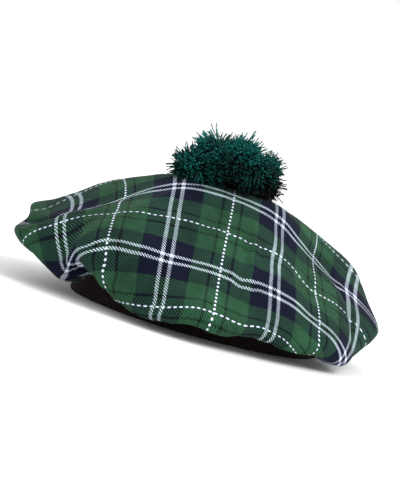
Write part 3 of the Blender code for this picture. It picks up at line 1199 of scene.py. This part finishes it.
    def _stretch(self, add: Adder, given: Sockets, tuft: Node) -> Node:
        """Scale of each strand: its tuft's own length, with a little difference of its own.

        Args:
            add: what adds nodes to the tree.
            given: the tree's inputs.
            tuft: the node that sorts the roots into tufts.

        Returns:
            The node that gives the scale.
        """
        shade = add(SEPARATE, [tuft.outputs["Color"]])
        less = add(MATH, [1.0, given["Uneven"]], operation="SUBTRACT")
        more = add(MATH, [1.0, given["Uneven"]], operation="ADD")
        length = add(MAP_RANGE, [shade, 0.0, 1.0, less, more])
        own = add(RANDOM, {2: self.own_length[0], 3: self.own_length[1], "Seed": given["Seed"]})
        total = add(MATH, [length, own.outputs[1]], operation="MULTIPLY")
        return add(COMBINE, [1.0, 1.0, total])

    def _strand_tree(self) -> Tree:
        """Tree that plants strands all over the core and keeps them as one mesh.

        Returns:
            The tree, with named inputs.
        """
        tree, add, given = new_tree("pompom_strands", {
            "Geometry": ("Geometry",),
            "Float": ("Radius", "Length", "Sunk", "Bend", "Tuft Scale", "Tuft Choice", "Gather",
                      "Lean", "Stray", "Uneven"),
            "Int": ("Count", "Seed", "Sides"), "Material": ("Material",)})
        spots = self._spots(add, given)
        place = add("GeometryNodeInputPosition")
        tuft = add("ShaderNodeTexVoronoi", {"Vector": place, "W": given["Tuft Choice"],
                                            "Scale": given["Tuft Scale"]}, voronoi_dimensions="4D")
        aim = self._aim(add, given, spots.outputs["Normal"], tuft)
        facing = self._facing(add, given, aim)
        planted = add("GeometryNodeInstanceOnPoints",
                      {"Points": spots.outputs["Points"], "Instance": self._strand(add, given),
                       "Rotation": facing, "Scale": self._stretch(add, given, tuft)})
        tint = add(RANDOM, {2: 0.0, 3: 1.0, "Seed": given["Seed"]})
        tinted = add(STORE, {"Geometry": planted, "Name": "strand_tint", "Value": tint.outputs[1]},
                     domain="INSTANCE")
        # Painted light for each strand: more where its root faces up and where it sits high towards
        # the upper left, so low and downward strands are painted in shade.
        x, y, z = add(SEPARATE, [place]).outputs
        facing_up = add(SEPARATE, [spots.outputs["Normal"]])
        upward = add(MAP_RANGE, [facing_up.outputs[2], *self.shaded_slope, 0.0, self.slope_part])
        leaned = add(MATH, [x, -self.painted_shade_lean, z], operation="MULTIPLY_ADD")
        high = add(MAP_RANGE, [leaned, self.seat, self.seat + self.painted_shade_rise_mm * MM, 0.0,
                               1.0 - self.slope_part])
        height = add(MATH, [upward, high], operation="ADD")
        raised = add(STORE, {"Geometry": tinted, "Name": "strand_height", "Value": height},
                     domain="INSTANCE")
        solid = add("GeometryNodeRealizeInstances", [raised])
        across = [1.0 / (half * MM) for half in self.cap_half_mm] + [0.0]
        aside = add(VECTOR_MATH, [place, across], operation="MULTIPLY")
        square = add(VECTOR_MATH, [aside, aside], operation="DOT_PRODUCT")
        floor = add(MATH, [square.outputs["Value"], -self.cap_drop_mm * MM,
                           self.seat + self.lying_mm * MM], operation="MULTIPLY_ADD")
        above = add(MATH, [z, floor], operation="MAXIMUM")
        lying = add(COMBINE, [x, y, above])
        laid = add("GeometryNodeSetPosition", {"Geometry": solid, "Position": lying})
        close_tree(add, laid, given["Material"])
        return tree

    def build(self, finish: AcrylicYarn) -> list[Piece]:
        """Plant the yarn strands and the finer stray fibres on the core.

        Args:
            finish: the yarn.

        Returns:
            The core, the strands and the fibres.
        """
        yarn = finish.build()
        core_mesh = self._core()
        tree = self._strand_tree()
        pieces = []
        for number, kind in enumerate(self.kinds):
            pieces.append(grown_piece(kind.name, core_mesh.copy(), tree, {
                "Radius": kind.radius * MM, "Length": kind.length * MM, "Sunk": kind.sunk * MM,
                "Bend": kind.bend * MM, "Tuft Scale": 1.0 / (kind.tuft_size * MM),
                "Tuft Choice": self.tuft_choice * kind.tuft_size * MM,
                "Gather": kind.gather / (kind.tuft_size * MM), "Lean": kind.lean,
                "Stray": kind.stray, "Uneven": kind.uneven, "Count": kind.count,
                "Seed": self.seed + number, "Sides": kind.sides, "Material": yarn}))
        # The core carries none of the strands' attributes, so it reads zero and the painted shade
        # makes it black.
        core_mesh.materials.clear()
        core_mesh.materials.append(yarn)
        core_mesh.shade_smooth()
        pieces.append(mesh_piece("pompom_core", core_mesh))
        for piece in pieces:
            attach(piece, BODY)
        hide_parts("pompom")
        return pieces


# --- studio ---

class Lamp(NamedTuple):
    """A soft square lamp: where it stands and how wide it is, in metres, and its watts."""

    name: str
    place: Spot
    size: float
    watts: float


@dataclass
class Studio:
    """Pale floor, soft lights and the camera at the photograph's angle."""

    aim_mm: Spot = (-4.8, 1.0, 53.7)
    distance: float = 2.0
    elevation: float = 5.5
    roll: float = 16.0
    view_height: float = 0.38
    sensor_mm: float = 36.0
    floor_half: float = 3.0
    white: str = "FFFFFF"
    floor_roughness: float = 0.9
    sky_strength: float = 1.0
    far_end: float = 20.0
    lamps: tuple[Lamp, ...] = (
        Lamp("key_softbox", (1.6, -0.8, 1.9), 1.4, 40.0),
        Lamp("back_softbox", (-0.6, 1.5, 1.6), 1.2, 4.0),
    )

    def _floor(self) -> None:
        """Wide pale floor that the headband stands on."""
        shape = bmesh.new()
        bmesh.ops.create_grid(shape, x_segments=1, y_segments=1, size=self.floor_half)
        mesh = shape_mesh("studio_floor", shape)
        material, _, shader = new_material("matt_white_floor")
        feed(shader, {"Base Color": linear_colour(self.white),
                      "Roughness": self.floor_roughness})
        mesh.materials.append(material)
        floor = mesh_piece("studio_floor", mesh)

    def _light(self, lamp: Lamp) -> None:
        """Add one lamp that looks at the hat.

        Args:
            lamp: its name, place, size and watts.
        """
        data = bpy.data.lights.new(lamp.name, "AREA")
        data.shape = "SQUARE"
        data.size = lamp.size
        data.energy = lamp.watts
        lamp_object = bpy.data.objects.new(lamp.name, data)
        lamp_object.location = lamp.place
        towards = Vector(self.aim_mm) * MM - Vector(lamp.place)
        lamp_object.rotation_euler = towards.to_track_quat("-Z", "Y").to_euler()
        bpy.context.scene.collection.objects.link(lamp_object)

    def _world(self) -> None:
        """Even white surroundings."""
        world = bpy.data.worlds.new("white_studio")
        world.use_nodes = True
        feed(world.node_tree.nodes["Background"],
             {"Color": linear_colour(self.white), "Strength": self.sky_strength})
        bpy.context.scene.world = world

    def _camera(self) -> None:
        """Long lens a little above the band's level, rolled as the photograph is."""
        lift = math.radians(self.elevation)
        back = Vector((0.0, -math.cos(lift), math.sin(lift)))
        up = Vector((0.0, math.sin(lift), math.cos(lift)))
        tilt = math.radians(self.roll)
        right = Vector((1.0, 0.0, 0.0))
        image_right = right * math.cos(tilt) + up * math.sin(tilt)
        image_up = up * math.cos(tilt) - right * math.sin(tilt)
        data = bpy.data.cameras.new("photo_camera")
        data.sensor_width = self.sensor_mm
        data.lens = self.sensor_mm * self.distance / self.view_height
        data.clip_end = self.far_end
        camera = bpy.data.objects.new("photo_camera", data)
        turn = Matrix((image_right, image_up, back)).transposed().to_4x4()
        place = Vector(self.aim_mm) * MM + back * self.distance
        camera.matrix_world = Matrix.Translation(place) @ turn
        bpy.context.scene.collection.objects.link(camera)
        bpy.context.scene.camera = camera

    def build(self) -> None:
        """Set up the floor, the lights, the surroundings, the camera and the tones."""
        self._floor()
        for lamp in self.lamps:
            self._light(lamp)
        self._world()
        self._camera()
        bpy.context.scene.view_settings.view_transform = "Standard"
        bpy.context.scene.view_settings.look = "None"


def main() -> None:
    """Build the studio and the hat, and note each piece."""
    logging.basicConfig(level=logging.INFO, format="%(name)s: %(message)s")
    Studio().build()
    band = Headband(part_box("headband"))
    crown = Crown(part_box("headband"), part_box("crown"))
    pompom = Pompom(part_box("headband"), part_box("pompom")[0][2], crown.cap_half_mm,
                    crown.cap_drop_mm)
    pieces = [crown.build(TartanTwill())]
    pieces += band.build(BandCloth())
    pieces += pompom.build(AcrylicYarn())
    for piece in pieces:
        LOG.info("%s: %d faces", piece.name, len(piece.data.polygons))


if __name__ == "__main__":
    main()
